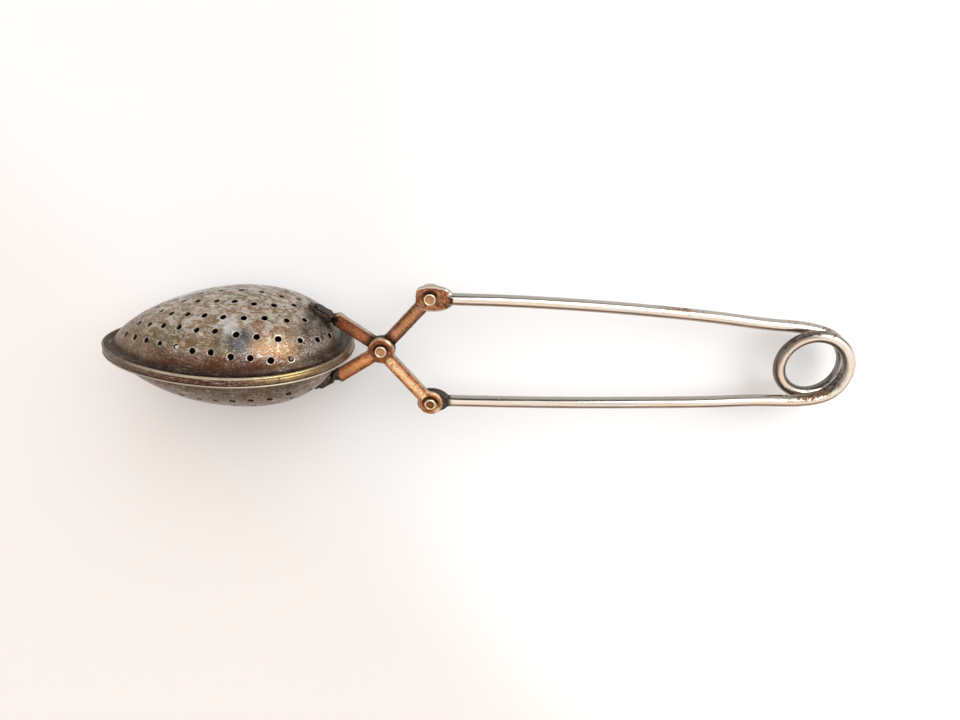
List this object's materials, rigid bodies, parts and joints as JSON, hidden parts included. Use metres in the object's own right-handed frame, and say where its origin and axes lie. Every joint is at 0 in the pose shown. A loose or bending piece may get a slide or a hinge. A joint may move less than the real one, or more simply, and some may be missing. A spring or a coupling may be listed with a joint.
{
  "type": "spring-handle tea infuser",
  "caption": "Egg-shaped tea infuser of two perforated metal half shells on crossed, riveted straps, opened by squeezing a spring-wire handle with a coil at its end.",
  "frame": {"origin": "at the middle of the hanging coil, on the coil's axis, halfway through its one and a half turns", "axes": "+X along the handle towards its coil, +Y along the pivot pins towards their domed heads, +Z towards the upper shell, square to the rim"},
  "size_m": [0.153, 0.0368, 0.0288],
  "materials": {
    "worn_plate": "worn, tarnished silver plate over brass, satin with scratches",
    "rim_band": "worn plate with bare copper-coloured metal, satin",
    "copper_strap": "bare copper-coloured metal, mottled, satin",
    "dark_solder": "dark, dull, uneven solder",
    "rivet_metal": "worn, with polished rims",
    "spring_wire": "satin drawn wire with tarnish near the coil"
  },
  "bodies": {
    "lower_jaw": {"lower_shell": "worn_plate", "lower_arm": "copper_strap", "lower_tab_solder": "dark_solder", "main_pivot_rivet": "rivet_metal", "lower_handle_rivet": "rivet_metal"},
    "upper_jaw": {"upper_shell": "worn_plate", "upper_rim_band": "rim_band", "upper_arm": "copper_strap", "upper_tab_solder": "dark_solder", "upper_handle_rivet": "rivet_metal"},
    "lower_handle": {"lower_handle_wire": "spring_wire"},
    "upper_handle": {"upper_handle_wire": "spring_wire"}
  },
  "joints": [
    {"name": "jaw_hinge", "type": "hinge", "parent": "lower_jaw", "child": "upper_jaw", "pos_m": [-0.088, 0, 0], "axis": [0, 1, 0], "range_deg": [0, 58]},
    {"name": "lower_handle_pin", "type": "hinge", "parent": "lower_jaw", "child": "lower_handle", "pos_m": [-0.07788, 0, -0.01168], "axis": [0, 1, 0], "range_deg": [0, 34]},
    {"name": "coil_flex", "type": "hinge", "parent": "lower_handle", "child": "upper_handle", "pos_m": [0, 0, 0], "axis": [0, 1, 0], "range_deg": [-9.4, 0]}
  ],
  "couplings": [
    {"joint": "lower_handle_pin", "follows": "jaw_hinge", "ratio": 0.5823},
    {"joint": "coil_flex", "follows": "jaw_hinge", "ratio": -0.1607}
  ]
}
